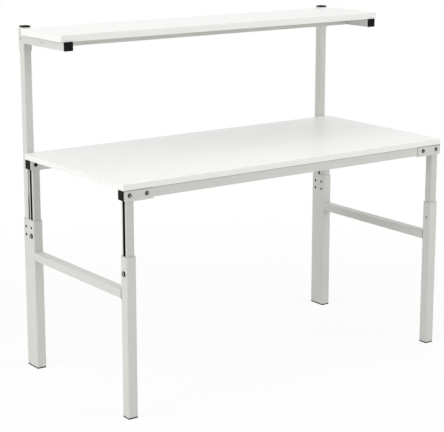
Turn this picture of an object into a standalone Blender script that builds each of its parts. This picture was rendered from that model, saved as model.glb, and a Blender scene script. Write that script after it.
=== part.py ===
"""Antistatic workbench: a worktop of adjustable height on two steel end frames, with a shelf above.

Metres, +Z up, front towards -Y. The origin is on the floor under the middle of the bench.
Run with: blender --background --python part.py

The worktop and its four slotted inner legs slide as one in the outer legs. A lock bolt on each
outer leg reaches through the slot to a clamp nut inside the inner leg.
"""

import math

import bmesh
import bpy
from mathutils import Matrix, Vector

# Worktop
TABLE_LENGTH = 1.500
TABLE_DEPTH = 0.700
TABLE_HEIGHT = 0.850
BOARD_THICKNESS = 0.022
BOARD_CORNER = 0.003
BOARD_EDGE_EASE = 0.001

# Fits, and how far a cutter runs past what it cuts
FIT = 0.0003
OVERRUN = 0.010

# Outer legs: the front ones have one cell, the rear ones two
LEG_CELL_COUNTS = (1, 2)
LEG_WIDTH = 0.038
LEG_DEPTH = 0.040
LEG_WALL = 0.0015
LEG_CORNER = 0.003
LEG_TOP = 0.591
LEG_INSET = 0.010
LEG_HOLE_DROP = 0.029
LEG_HOLE_PITCH = 0.032

# Plastic glides between the outer and the inner legs
GLIDE_WALL = 0.0012
BUSH_HEIGHT = 0.020
BUSH_FLANGE = 0.0012
GUIDE_HEIGHT = 0.012
GUIDE_PLUG = 0.020

# Inner legs, folded to a C with the slot outward
INNER_WALL = 0.002
INNER_SLOT = 0.0135
INNER_CORNER = 0.003
INNER_OVERLAP = 0.250

# Uprights, which stand in the rear cells of the rear legs
UPRIGHT_WALL = 0.0015
UPRIGHT_INSERT = 0.220
UPRIGHT_CLEARANCE = 0.0045
UPRIGHT_PROUD = 0.002

# Cross tubes between the front and the rear outer leg
CROSS_HEIGHT = 0.032
CROSS_BOTTOM = 0.436

# Rails under the worktop
RAIL_HEIGHT = 0.035
RAIL_DEPTH = 0.032
RAIL_WALL = 0.0015
RAIL_CORNER = 0.002

# Leg brackets, bolted to the ends of the rails
BRACKET_LENGTH = 0.120
BRACKET_THICKNESS = 0.003
BRACKET_CORNER = 0.008
BRACKET_GAP = 0.002
BRACKET_STEP = 0.001
BRACKET_BOLT_INSET = 0.022
BRACKET_BOLT_SPACING = 0.070

# Shelf, its arms and its beam
SHELF_DEPTH = 0.300
SHELF_TOP = 1.323
SHELF_THICKNESS = 0.025
ARM_WIDTH = 0.036
ARM_HEIGHT = 0.032
ARM_WALL = 0.002
ARM_CORNER = 0.002
ARM_PROUD = 0.004
SLEEVE_WALL = 0.0025
SLEEVE_HEIGHT = 0.085
SLEEVE_DROP = 0.003
SLEEVE_CORNER = 0.004
BEAM_DEPTH = 0.060
BEAM_SETBACK = 0.130
BEAM_WALL = 0.0015
BEAM_PLATE = 0.004
BEAM_PLATE_INSET = 0.001

# Plastic end plugs
PLUG_WALL = 0.002
PLUG_EASE = 0.0008
RAIL_PLUG_RIM = 0.004
RAIL_PLUG_LENGTH = 0.010
ARM_PLUG_RIM = 0.004
ARM_PLUG_LENGTH = 0.016
ARM_PLUG_LIP = 0.0005
UPRIGHT_PLUG_RIM = 0.006
UPRIGHT_PLUG_LENGTH = 0.016
FOOT_RIM = 0.005
FOOT_LENGTH = 0.022

# Bolts of 8 mm thread, and the nuts welded inside the tubes for them
SHANK_RADIUS = 0.004
SHANK_CHAMFER = 0.0008
SHANK_TAIL = 0.0015
HEAD_RADIUS = 0.0078
HEAD_HEIGHT = 0.0045
SOCKET_FLATS = 0.0050
SOCKET_DEPTH = 0.0026
NUT_FLATS = 0.013
NUT_HEIGHT = 0.0065

# Lock bolts and clamp nuts
LOCK_FLANGE_RADIUS = 0.0100
LOCK_FLANGE = 0.0015
LOCK_HEAD_RADIUS = 0.0085
LOCK_HEAD_HEIGHT = 0.0055
LOCK_SOCKET_FLATS = 0.0060
LOCK_SOCKET_DEPTH = 0.0035
CLAMP_PLAY = 0.002
CLAMP_HEIGHT = 0.024
CLAMP_THICKNESS = 0.008

# Holes for the wood screws that hold the boards from below
SCREW_HOLE_RADIUS = 0.0025
SCREW_HOLE_DEPTH = 0.016
SCREW_ACCESS_RADIUS = 0.006
RAIL_SCREW_SHARES = (-0.36, -0.12, 0.12, 0.36)
ARM_SCREW_SHARES = (0.16, 0.82)

# How finely round forms are cut
ARC_STEPS = 2
BOLT_SIDES = 12
LOCK_SIDES = 24
SCREW_SIDES = 8
DOME_STEPS = 2
EASE_SEGMENTS = 2
EASE_ABOVE = math.radians(60)
SMOOTH_BELOW = math.radians(50)

# Sizes that follow from those above
GLIDE_PLAY = GLIDE_WALL + 2 * FIT
CELL_WIDTH = LEG_WIDTH - 2 * LEG_WALL
CELL_DEPTH = LEG_DEPTH - 2 * LEG_WALL
CELL_CORNER = max(LEG_CORNER - LEG_WALL, FIT)
INNER_WIDTH = CELL_WIDTH - 2 * GLIDE_PLAY
INNER_DEPTH = CELL_DEPTH - 2 * GLIDE_PLAY
CAVITY_WIDTH = INNER_WIDTH - 2 * INNER_WALL
CAVITY_DEPTH = INNER_DEPTH - 2 * INNER_WALL
CAVITY_CORNER = max(INNER_CORNER - INNER_WALL, FIT)
HOLE_RADIUS = SHANK_RADIUS + FIT
HEAD_PROUD = HEAD_HEIGHT + FIT

# Places across the bench
LEG_X = TABLE_LENGTH / 2 - LEG_INSET - LEG_WIDTH / 2
LEG_FACE_X = LEG_X + LEG_WIDTH / 2
INNER_FACE_X = LEG_X + INNER_WIDTH / 2
RAIL_LENGTH = TABLE_LENGTH - 2 * RAIL_PLUG_RIM
RAIL_END_X = RAIL_LENGTH / 2

# Places from front to back: the bench's box, bolt heads included, is centred on the origin
BENCH_DEPTH = HEAD_PROUD + TABLE_DEPTH + UPRIGHT_CLEARANCE + INNER_DEPTH / 2 + LEG_DEPTH / 2
FRONT_Y = HEAD_PROUD - BENCH_DEPTH / 2
UPRIGHT_Y = FRONT_Y + TABLE_DEPTH + UPRIGHT_CLEARANCE + INNER_DEPTH / 2
REAR_LEG_Y = UPRIGHT_Y - LEG_DEPTH / 2 - LEG_DEPTH
SLEEVE_FRONT_Y = UPRIGHT_Y - INNER_DEPTH / 2 - FIT - SLEEVE_WALL
SHELF_FRONT_Y = SLEEVE_FRONT_Y - FIT - SHELF_DEPTH
ARM_FRONT_Y = SHELF_FRONT_Y - ARM_PROUD + ARM_PLUG_RIM
ARM_LENGTH = SLEEVE_FRONT_Y - ARM_FRONT_Y
BEAM_Y = SHELF_FRONT_Y + BEAM_SETBACK + BEAM_DEPTH / 2

# Heights
RAIL_TOP = TABLE_HEIGHT - BOARD_THICKNESS - FIT
RAIL_Z = RAIL_TOP - RAIL_HEIGHT / 2
FLANGE_TOP = RAIL_TOP - RAIL_HEIGHT - FIT
FLANGE_BOTTOM = FLANGE_TOP - BRACKET_THICKNESS
INNER_TOP = FLANGE_BOTTOM - FIT
INNER_BOTTOM = LEG_TOP - INNER_OVERLAP
LOCK_Z = LEG_TOP - LEG_HOLE_DROP - LEG_HOLE_PITCH
LEG_HOLE_HEIGHTS = (LEG_TOP - LEG_HOLE_DROP, LOCK_Z)
UPRIGHT_TOP = SHELF_TOP + UPRIGHT_PROUD
UPRIGHT_BOTTOM = LEG_TOP - UPRIGHT_INSERT
ARM_TOP = SHELF_TOP - SHELF_THICKNESS - FIT
ARM_Z = ARM_TOP - ARM_HEIGHT / 2
SLEEVE_BOTTOM = UPRIGHT_TOP - SLEEVE_DROP - SLEEVE_HEIGHT

SIDES = (("left", -1), ("right", 1))
ROWS = (("front", FRONT_Y), ("rear", REAR_LEG_Y))

# Turns that lay a shape modelled along +Z along another axis
UNTURNED = Matrix.Identity(4)
ALONG_X = Matrix.Rotation(math.pi / 2, 4, "Y")
ALONG_MINUS_X = Matrix.Rotation(-math.pi / 2, 4, "Y")
ALONG_Y = Matrix.Rotation(-math.pi / 2, 4, "X")
ALONG_MINUS_Y = Matrix.Rotation(math.pi / 2, 4, "X")


def clear_scene():
    for obj in list(bpy.data.objects):
        bpy.data.objects.remove(obj, do_unlink=True)


def finish(name, colour, roughness, metallic=0.0):
    """A material of one colour."""
    material = bpy.data.materials.new(name)
    material.use_nodes = True
    shader = material.node_tree.nodes["Principled BSDF"]
    shader.inputs["Base Color"].default_value = (*colour, 1.0)
    shader.inputs["Roughness"].default_value = roughness
    shader.inputs["Metallic"].default_value = metallic
    return material


# Places

def placed(x, y, z, turn=UNTURNED):
    return Matrix.Translation((x, y, z)) @ turn


def outward(side):
    """The turn that points a shape's +Z away from the bench at this side."""
    return ALONG_X if side > 0 else ALONG_MINUS_X


def bracket_bolts_x():
    """X of each bracket bolt at one end of a rail: the outer one, then the inner one."""
    outer = RAIL_END_X - BRACKET_BOLT_INSET
    return outer, outer - BRACKET_BOLT_SPACING


def rail_screws_x():
    return [share * TABLE_LENGTH for share in RAIL_SCREW_SHARES]


def arm_screws_y():
    return [ARM_FRONT_Y + share * ARM_LENGTH for share in ARM_SCREW_SHARES]


def rail_middle_y(leg_y):
    """Y of the middle of the rail whose bracket is flush with this leg's front."""
    return leg_y + BRACKET_THICKNESS + FIT + RAIL_DEPTH / 2


# Outlines

def rounded_path(corners):
    """Points of a closed outline whose corners are (x, y, radius)."""
    points = []
    for index, (x, y, radius) in enumerate(corners):
        here = Vector((x, y))
        if radius == 0:
            points.append(here)
            continue
        back = (Vector(corners[index - 1][:2]) - here).normalized()
        ahead = (Vector(corners[(index + 1) % len(corners)][:2]) - here).normalized()
        half = back.angle(ahead) / 2
        centre = here + (back + ahead).normalized() * radius / math.sin(half)
        start = here + back * radius / math.tan(half) - centre
        end = here + ahead * radius / math.tan(half) - centre
        sweep = start.angle_signed(end)
        for step in range(ARC_STEPS + 1):
            turn = Matrix.Rotation(-sweep * step / ARC_STEPS, 2)
            points.append(centre + turn @ start)
    return points


def rectangle(width, depth, radius, centre_y=0):
    """Outline of a rectangle with round corners."""
    signs = ((-1, -1), (1, -1), (1, 1), (-1, 1))
    return rounded_path([(sx * width / 2, centre_y + sy * depth / 2, radius) for sx, sy in signs])


def circle(radius, sides):
    angles = (2 * math.pi * step / sides for step in range(sides))
    return [Vector((radius * math.cos(angle), radius * math.sin(angle))) for angle in angles]


def hexagon(flats, sides):
    """A hexagon of the given size across its flats, with as many points as a circle has."""
    points = []
    for step in range(sides):
        angle = 2 * math.pi * step / sides
        from_flat = angle % (math.pi / 3) - math.pi / 6
        radius = flats / 2 / math.cos(from_flat)
        points.append(Vector((radius * math.cos(angle), radius * math.sin(angle))))
    return points


def c_section(side):
    """Outline of an inner leg: a folded C whose slot faces outward at this side."""
    out_x, out_y = INNER_WIDTH / 2, INNER_DEPTH / 2
    in_x, in_y = out_x - INNER_WALL, out_y - INNER_WALL
    lip = INNER_SLOT / 2
    corners = [
        (out_x, lip, 0), (out_x, out_y, INNER_CORNER), (-out_x, out_y, INNER_CORNER),
        (-out_x, -out_y, INNER_CORNER), (out_x, -out_y, INNER_CORNER), (out_x, -lip, 0),
        (in_x, -lip, 0), (in_x, -in_y, CAVITY_CORNER), (-in_x, -in_y, CAVITY_CORNER),
        (-in_x, in_y, CAVITY_CORNER), (in_x, in_y, CAVITY_CORNER), (in_x, lip, 0),
    ]
    return rounded_path([(side * x, y, radius) for x, y, radius in corners])


def u_section():
    """Outline of a shelf arm's sleeve: a folded U round the front and the sides of an upright."""
    in_x, in_y = INNER_WIDTH / 2 + FIT, INNER_DEPTH / 2 + FIT
    out_x, out_y = in_x + SLEEVE_WALL, in_y + SLEEVE_WALL
    inner_corner = max(SLEEVE_CORNER - SLEEVE_WALL, FIT)
    back = INNER_DEPTH / 2
    return rounded_path([
        (-out_x, -out_y, SLEEVE_CORNER), (out_x, -out_y, SLEEVE_CORNER), (out_x, back, 0), (in_x, back, 0),
        (in_x, -in_y, inner_corner), (-in_x, -in_y, inner_corner), (-in_x, back, 0), (-out_x, back, 0),
    ])


def bracket_outline(side):
    """Outline of a bracket's plate from the front, about the rail's axis: its outer corners are round."""
    bottom, top = FLANGE_BOTTOM - BRACKET_STEP - RAIL_Z, RAIL_TOP - BRACKET_GAP - RAIL_Z
    near, far = RAIL_END_X - BRACKET_LENGTH, RAIL_END_X
    corners = [(near, bottom, 0), (far, bottom, BRACKET_CORNER), (far, top, BRACKET_CORNER), (near, top, 0)]
    return rounded_path([(side * x, z, radius) for x, z, radius in corners])


# Solids

def prism(outlines, length, start=0):
    """A solid along +Z: the first outline, with the others as openings through it."""
    bm = bmesh.new()
    for outline in outlines:
        verts = [bm.verts.new((x, y, start)) for x, y in outline]
        for index, vert in enumerate(verts):
            bm.edges.new((vert, verts[(index + 1) % len(verts)]))
    bmesh.ops.triangle_fill(bm, use_beauty=True, edges=bm.edges[:])
    grown = bmesh.ops.extrude_face_region(bm, geom=bm.faces[:])["geom"]
    moved = [part for part in grown if isinstance(part, bmesh.types.BMVert)]
    bmesh.ops.translate(bm, verts=moved, vec=(0, 0, length))
    bmesh.ops.recalc_face_normals(bm, faces=bm.faces[:])
    return bm


def loft(sections):
    """A solid through (outline, height) sections, closed at its first and last."""
    bm = bmesh.new()
    rows = [[bm.verts.new((x, y, height)) for x, y in outline] for outline, height in sections]
    count = len(rows[0])
    for lower, upper in zip(rows, rows[1:]):
        for index in range(count):
            after = (index + 1) % count
            bm.faces.new((lower[index], lower[after], upper[after], upper[index]))
    bm.faces.new(rows[0])
    bm.faces.new(rows[-1])
    bmesh.ops.recalc_face_normals(bm, faces=bm.faces[:])
    return bm


def head_sections(radius, height, base, socket_flats, socket_depth, sides):
    """Sections of a button head on this base height, with a hexagon socket in its crown."""
    crown = socket_flats / 2 + SHANK_CHAMFER
    sections = []
    for step in range(DOME_STEPS + 1):
        angle = math.pi / 2 * step / DOME_STEPS
        ring = crown + (radius - crown) * math.cos(angle)
        sections.append((circle(ring, sides), base + height * math.sin(angle)))
    sections.append((hexagon(socket_flats, sides), base + height))
    sections.append((hexagon(socket_flats, sides), base + height - socket_depth))
    return sections


def shank_sections(length, sides):
    return [
        (circle(SHANK_RADIUS - SHANK_CHAMFER, sides), -length),
        (circle(SHANK_RADIUS, sides), SHANK_CHAMFER - length),
        (circle(SHANK_RADIUS, sides), 0),
    ]


def bracket_bolt():
    """A button-head bolt along +Z, with the underside of its head at z = 0."""
    through = 2 * FIT + BRACKET_THICKNESS + RAIL_WALL + NUT_HEIGHT
    head = head_sections(HEAD_RADIUS, HEAD_HEIGHT, 0, SOCKET_FLATS, SOCKET_DEPTH, BOLT_SIDES)
    return loft(shank_sections(through + SHANK_TAIL, BOLT_SIDES) + head)


def lock_bolt():
    """A flanged lock bolt along +Z, with the underside of its flange at z = 0."""
    through = 2 * FIT + LEG_WALL + GLIDE_PLAY + INNER_WALL + CLAMP_THICKNESS
    flange = [(circle(LOCK_FLANGE_RADIUS, LOCK_SIDES), height) for height in (0, LOCK_FLANGE)]
    head = head_sections(
        LOCK_HEAD_RADIUS, LOCK_HEAD_HEIGHT, LOCK_FLANGE, LOCK_SOCKET_FLATS, LOCK_SOCKET_DEPTH, LOCK_SIDES
    )
    return loft(shank_sections(through + SHANK_TAIL, LOCK_SIDES) + flange + head)


def clamp_nut():
    """A clamp nut along +Z from z = 0: a block with a round bore, as wide as the inner leg allows."""
    block = rectangle(CLAMP_HEIGHT, CAVITY_DEPTH - 2 * CLAMP_PLAY, PLUG_EASE)
    return prism([block, circle(HOLE_RADIUS, BOLT_SIDES)], CLAMP_THICKNESS)


def end_plug(width, depth, corner, wall, rim, length, lip=0):
    """A hollow plug for the end of a tube: its rim above z = 0, and the part inside the tube below."""
    rim_width, rim_depth = width + 2 * lip, depth + 2 * lip
    fit_width, fit_depth = width - 2 * (wall + FIT), depth - 2 * (wall + FIT)
    fit_corner = max(corner - wall, FIT)
    bore = rectangle(fit_width - 2 * PLUG_WALL, fit_depth - 2 * PLUG_WALL, fit_corner)
    ease = min(PLUG_EASE, rim / 2)
    return loft([
        (rectangle(rim_width - 2 * ease, rim_depth - 2 * ease, corner), rim),
        (rectangle(rim_width, rim_depth, corner + lip), rim - ease),
        (rectangle(rim_width, rim_depth, corner + lip), FIT),
        (rectangle(fit_width, fit_depth, fit_corner), FIT),
        (rectangle(fit_width, fit_depth, fit_corner), -length),
        (bore, -length),
        (bore, FIT),
    ])


def group(source, matrices):
    """Copies of one solid, one for each matrix."""
    copies = bmesh.new()
    mesh = bpy.data.meshes.new("copied")
    source.to_mesh(mesh)
    source.free()
    for matrix in matrices:
        copies.from_mesh(mesh)
        new = copies.verts[-len(mesh.vertices):]
        bmesh.ops.transform(copies, matrix=matrix, verts=new)
        copies.verts.ensure_lookup_table()
    bpy.data.meshes.remove(mesh)
    return copies


def hole_cutters(radius, length, matrices, sides=BOLT_SIDES):
    """Round cutters along each matrix's z axis, centred on it."""
    return group(prism([circle(radius, sides)], length, -length / 2), matrices)


def nut_bosses(matrices):
    """Hexagon nuts along each matrix's z axis, to be joined to the wall that they start in."""
    return group(prism([hexagon(NUT_FLATS, BOLT_SIDES)], NUT_HEIGHT), matrices)


# Objects

def add_object(name, bm, material, matrix, parent):
    """Makes an object of the solid, placed in the world by the matrix."""
    mesh = bpy.data.meshes.new(name)
    bm.to_mesh(mesh)
    bm.free()
    mesh.materials.append(material)
    mesh.shade_smooth()
    mesh.set_sharp_from_angle(angle=SMOOTH_BELOW)
    obj = bpy.data.objects.new(name, mesh)
    bpy.context.scene.collection.objects.link(obj)
    obj.parent = parent
    obj.matrix_parent_inverse = parent.matrix_world.inverted()
    obj.matrix_basis = matrix
    return obj


def add_empty(name, height, parent=None):
    empty = bpy.data.objects.new(name, None)
    bpy.context.scene.collection.objects.link(empty)
    empty.location.z = height
    empty.parent = parent
    bpy.context.view_layer.update()
    return empty


def add_boolean(obj, bm, operation, matrix=UNTURNED):
    """Joins a helper solid to the object or cuts it out; the matrix places the helper in the world."""
    bmesh.ops.transform(bm, matrix=matrix, verts=bm.verts)
    mesh = bpy.data.meshes.new(obj.name + "_helper")
    bm.to_mesh(mesh)
    bm.free()
    helper = bpy.data.objects.new(obj.name + "_helper", mesh)
    bpy.context.scene.collection.objects.link(helper)
    helper.hide_render = True
    helper.display_type = "WIRE"
    modifier = obj.modifiers.new(operation.lower(), "BOOLEAN")
    modifier.operation = operation
    modifier.solver = "EXACT"
    modifier.object = helper


def join(obj, bm, matrix=UNTURNED):
    add_boolean(obj, bm, "UNION", matrix)


def cut(obj, bm):
    add_boolean(obj, bm, "DIFFERENCE")


def ease_edges(obj, width):
    """Rounds the square edges of a board or a foot."""
    bevel = obj.modifiers.new("eased", "BEVEL")
    bevel.width = width
    bevel.segments = EASE_SEGMENTS
    bevel.limit_method = "ANGLE"
    bevel.angle_limit = EASE_ABOVE


# Worktop and what rises with it

def make_board(name, depth, thickness, front_y, top, screws, material, parent):
    """A board with eased edges, and a blind hole above each (x, y) of the screws."""
    outline = rectangle(TABLE_LENGTH, depth, BOARD_CORNER)
    place = placed(0, front_y + depth / 2, top - thickness)
    board = add_object(name, prism([outline], thickness), material, place, parent)
    ease_edges(board, BOARD_EDGE_EASE)
    holes = [placed(x, y, top - thickness) for x, y in screws]
    cut(board, hole_cutters(SCREW_HOLE_RADIUS, 2 * SCREW_HOLE_DEPTH, holes, SCREW_SIDES))


def make_rail(row, leg_y, steel, plastic, parent):
    """A rail under the worktop, with its welded nuts, its holes and a plug in each end."""
    rail_y = rail_middle_y(leg_y)
    outer = rectangle(RAIL_HEIGHT, RAIL_DEPTH, RAIL_CORNER)
    inner_corner = max(RAIL_CORNER - RAIL_WALL, FIT)
    inner = rectangle(RAIL_HEIGHT - 2 * RAIL_WALL, RAIL_DEPTH - 2 * RAIL_WALL, inner_corner)
    tube = prism([outer, inner], RAIL_LENGTH, -RAIL_LENGTH / 2)
    rail = add_object(row + "_rail", tube, steel, placed(0, rail_y, RAIL_Z, ALONG_X), parent)

    wall_y = rail_y - RAIL_DEPTH / 2 + RAIL_WALL / 2
    bolts_x = [side * x for _, side in SIDES for x in bracket_bolts_x()]
    bolts = [placed(x, wall_y, RAIL_Z, ALONG_Y) for x in bolts_x]
    join(rail, nut_bosses(bolts))
    cut(rail, hole_cutters(HOLE_RADIUS, 2 * (RAIL_WALL + NUT_HEIGHT), bolts))
    wall_cut = RAIL_WALL + OVERRUN
    for radius, wall_z, sides in (
        (SCREW_HOLE_RADIUS, RAIL_TOP - RAIL_WALL / 2, SCREW_SIDES),
        (SCREW_ACCESS_RADIUS, RAIL_TOP - RAIL_HEIGHT + RAIL_WALL / 2, BOLT_SIDES),
    ):
        places = [placed(x, rail_y, wall_z) for x in rail_screws_x()]
        cut(rail, hole_cutters(radius, wall_cut, places, sides))

    for side_name, side in SIDES:
        plug = end_plug(RAIL_HEIGHT, RAIL_DEPTH, RAIL_CORNER, RAIL_WALL, RAIL_PLUG_RIM, RAIL_PLUG_LENGTH)
        place = placed(side * RAIL_END_X, rail_y, RAIL_Z, outward(side))
        add_object(f"rail_cap_{row}_{side_name}", plug, plastic, place, parent)


def make_bracket(name, side, leg_y, steel, oxide, parent):
    """A plate on the rail's front and a flange below it that carries the inner leg, with two bolts."""
    place = placed(0, leg_y + BRACKET_THICKNESS, RAIL_Z, ALONG_MINUS_Y)
    plate = prism([bracket_outline(side)], BRACKET_THICKNESS)
    bracket = add_object("leg_bracket_" + name, plate, steel, place, parent)
    near_x = RAIL_END_X - BRACKET_LENGTH + BRACKET_STEP
    front_y, back_y = leg_y + BRACKET_THICKNESS / 2, leg_y + LEG_DEPTH / 2 + INNER_DEPTH / 2
    flange = prism([rectangle(INNER_FACE_X - near_x, back_y - front_y, 0)], BRACKET_THICKNESS)
    join(bracket, flange, placed(side * (INNER_FACE_X + near_x) / 2, (front_y + back_y) / 2, FLANGE_BOTTOM))
    bolts_x = [side * x for x in bracket_bolts_x()]
    holes = [placed(x, front_y, RAIL_Z, ALONG_Y) for x in bolts_x]
    cut(bracket, hole_cutters(HOLE_RADIUS, BRACKET_THICKNESS + OVERRUN, holes))
    for place_name, x in zip(("outer", "inner"), bolts_x):
        place = placed(x, leg_y - FIT, RAIL_Z, ALONG_MINUS_Y)
        add_object(f"bracket_bolt_{name}_{place_name}", bracket_bolt(), oxide, place, parent)


def make_inner_leg(name, side, leg_y, steel, glide, parent):
    """A slotted inner leg, with the guide on its lower end."""
    place = placed(side * LEG_X, leg_y + LEG_DEPTH / 2, INNER_BOTTOM)
    section = prism([c_section(side)], INNER_TOP - INNER_BOTTOM)
    add_object("inner_leg_" + name, section, steel, place, parent)
    collar = rectangle(CELL_WIDTH - 2 * FIT, CELL_DEPTH - 2 * FIT, CELL_CORNER)
    plug = rectangle(CAVITY_WIDTH - 2 * FIT, CAVITY_DEPTH - 2 * FIT, CAVITY_CORNER)
    guide = loft([(collar, -GUIDE_HEIGHT), (collar, -FIT), (plug, -FIT), (plug, GUIDE_PLUG)])
    add_object("leg_guide_" + name, guide, glide, place, parent)


def make_worktop(laminate, steel, plastic, glide, oxide, slide):
    """Everything that rises with the worktop."""
    screws = [(x, rail_middle_y(leg_y)) for _, leg_y in ROWS for x in rail_screws_x()]
    make_board("tabletop", TABLE_DEPTH, BOARD_THICKNESS, FRONT_Y, TABLE_HEIGHT, screws, laminate, slide)
    for row, leg_y in ROWS:
        make_rail(row, leg_y, steel, plastic, slide)
        for side_name, side in SIDES:
            make_bracket(f"{row}_{side_name}", side, leg_y, steel, oxide, slide)
            make_inner_leg(f"{row}_{side_name}", side, leg_y, steel, glide, slide)


# End frames

def make_outer_leg(name, side, middle_y, cells_y, steel, parent):
    """An outer leg, a tube with one or two cells, and the bolt holes through it."""
    depth = len(cells_y) * LEG_DEPTH
    outlines = [rectangle(LEG_WIDTH, depth, LEG_CORNER)]
    outlines += [rectangle(CELL_WIDTH, CELL_DEPTH, CELL_CORNER, y) for y in cells_y]
    foot_top = FOOT_RIM + FIT
    tube = prism(outlines, LEG_TOP - foot_top, foot_top)
    leg = add_object("outer_leg_" + name, tube, steel, placed(side * LEG_X, middle_y, 0), parent)
    heights = LEG_HOLE_HEIGHTS if len(cells_y) > 1 else (LOCK_Z,)
    holes = [placed(side * LEG_X, middle_y + y, z, ALONG_X) for y in cells_y for z in heights]
    cut(leg, hole_cutters(HOLE_RADIUS, LEG_WIDTH + OVERRUN, holes))


def make_bush(name, side, middle_y, cells_y, glide, parent):
    """The bush in a leg's mouth: a flange on the tube's end, and a sleeve down into each cell."""
    depth = len(cells_y) * LEG_DEPTH
    bore = (INNER_WIDTH + 2 * FIT, INNER_DEPTH + 2 * FIT)
    mouth = (bore[0] + 2 * FIT, bore[1] + 2 * FIT)
    outlines = [rectangle(LEG_WIDTH, depth, LEG_CORNER)]
    outlines += [rectangle(*mouth, INNER_CORNER, y) for y in cells_y]
    place = placed(side * LEG_X, middle_y, LEG_TOP + FIT)
    bush = add_object("leg_bush_" + name, prism(outlines, BUSH_FLANGE), glide, place, parent)
    for y in cells_y:
        fit = rectangle(CELL_WIDTH - 2 * FIT, CELL_DEPTH - 2 * FIT, CELL_CORNER, y)
        sleeve = prism([fit, rectangle(*bore, INNER_CORNER, y)], BUSH_HEIGHT + BUSH_FLANGE / 2, -BUSH_HEIGHT)
        join(bush, sleeve, place)


def make_foot(name, side, middle_y, cells_y, plastic, parent):
    """A foot as wide as its leg, with a hollow plug up into each cell."""
    depth = len(cells_y) * LEG_DEPTH
    place = placed(side * LEG_X, middle_y, 0)
    pad = prism([rectangle(LEG_WIDTH, depth, LEG_CORNER)], FOOT_RIM)
    foot = add_object("foot_" + name, pad, plastic, place, parent)
    ease_edges(foot, min(PLUG_EASE, FOOT_RIM / 2 - FIT))
    plug_width, plug_depth = CELL_WIDTH - 2 * FIT, CELL_DEPTH - 2 * FIT
    for y in cells_y:
        fit = rectangle(plug_width, plug_depth, CELL_CORNER, y)
        bore = rectangle(plug_width - 2 * PLUG_WALL, plug_depth - 2 * PLUG_WALL, CELL_CORNER, y)
        join(foot, prism([fit, bore], FOOT_RIM / 2 + FOOT_LENGTH, FOOT_RIM / 2), place)


def make_lock(name, side, leg_y, oxide, zinc, parent):
    """A lock bolt, whose object's origin is on the bolt's own axis, and its clamp nut."""
    middle_y = leg_y + LEG_DEPTH / 2
    place = placed(side * (LEG_FACE_X + FIT), middle_y, LOCK_Z, outward(side))
    add_object("lock_bolt_" + name, lock_bolt(), oxide, place, parent)
    place = placed(side * (INNER_FACE_X - INNER_WALL - FIT), middle_y, LOCK_Z, outward(-side))
    add_object("clamp_nut_" + name, clamp_nut(), zinc, place, parent)


def make_cross_tube(side_name, side, steel, parent):
    """The tube between the front and the rear outer leg of one end."""
    start_y, end_y = FRONT_Y + LEG_DEPTH + FIT, REAR_LEG_Y - FIT
    outer = rectangle(LEG_WIDTH, CROSS_HEIGHT, LEG_CORNER)
    inner = rectangle(CELL_WIDTH, CROSS_HEIGHT - 2 * LEG_WALL, CELL_CORNER)
    place = placed(side * LEG_X, start_y, CROSS_BOTTOM + CROSS_HEIGHT / 2, ALONG_Y)
    add_object("cross_tube_" + side_name, prism([outer, inner], end_y - start_y), steel, place, parent)


def make_end_frames(steel, plastic, glide, oxide, zinc, frame):
    """The outer legs, feet, bushes, locks and cross tubes of both ends."""
    for side_name, side in SIDES:
        for (row, leg_y), cells in zip(ROWS, LEG_CELL_COUNTS):
            name = f"{row}_{side_name}"
            middle_y = leg_y + cells * LEG_DEPTH / 2
            cells_y = [(cell - (cells - 1) / 2) * LEG_DEPTH for cell in range(cells)]
            make_outer_leg(name, side, middle_y, cells_y, steel, frame)
            make_bush(name, side, middle_y, cells_y, glide, frame)
            make_foot(name, side, middle_y, cells_y, plastic, frame)
            make_lock(name, side, leg_y, oxide, zinc, frame)
        make_cross_tube(side_name, side, steel, frame)


# Uprights and shelf

def make_upright(side_name, side, steel, plastic, parent):
    """An upright with its cap, and a welded nut behind each hole in its outer wall."""
    outer = rectangle(INNER_WIDTH, INNER_DEPTH, INNER_CORNER)
    inner_corner = max(INNER_CORNER - UPRIGHT_WALL, FIT)
    inner = rectangle(INNER_WIDTH - 2 * UPRIGHT_WALL, INNER_DEPTH - 2 * UPRIGHT_WALL, inner_corner)
    tube = prism([outer, inner], UPRIGHT_TOP - UPRIGHT_BOTTOM, UPRIGHT_BOTTOM)
    place = placed(side * LEG_X, UPRIGHT_Y, 0)
    upright = add_object("upright_" + side_name, tube, steel, place, parent)
    wall_x = side * (INNER_FACE_X - UPRIGHT_WALL / 2)
    holes = [placed(wall_x, UPRIGHT_Y, z, outward(-side)) for z in (*LEG_HOLE_HEIGHTS, ARM_Z)]
    join(upright, nut_bosses(holes))
    cut(upright, hole_cutters(HOLE_RADIUS, 2 * (UPRIGHT_WALL + NUT_HEIGHT), holes))
    cap = end_plug(
        INNER_WIDTH, INNER_DEPTH, INNER_CORNER, UPRIGHT_WALL, UPRIGHT_PLUG_RIM, UPRIGHT_PLUG_LENGTH
    )
    place = placed(side * LEG_X, UPRIGHT_Y, UPRIGHT_TOP)
    add_object("upright_cap_" + side_name, cap, plastic, place, parent)


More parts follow.
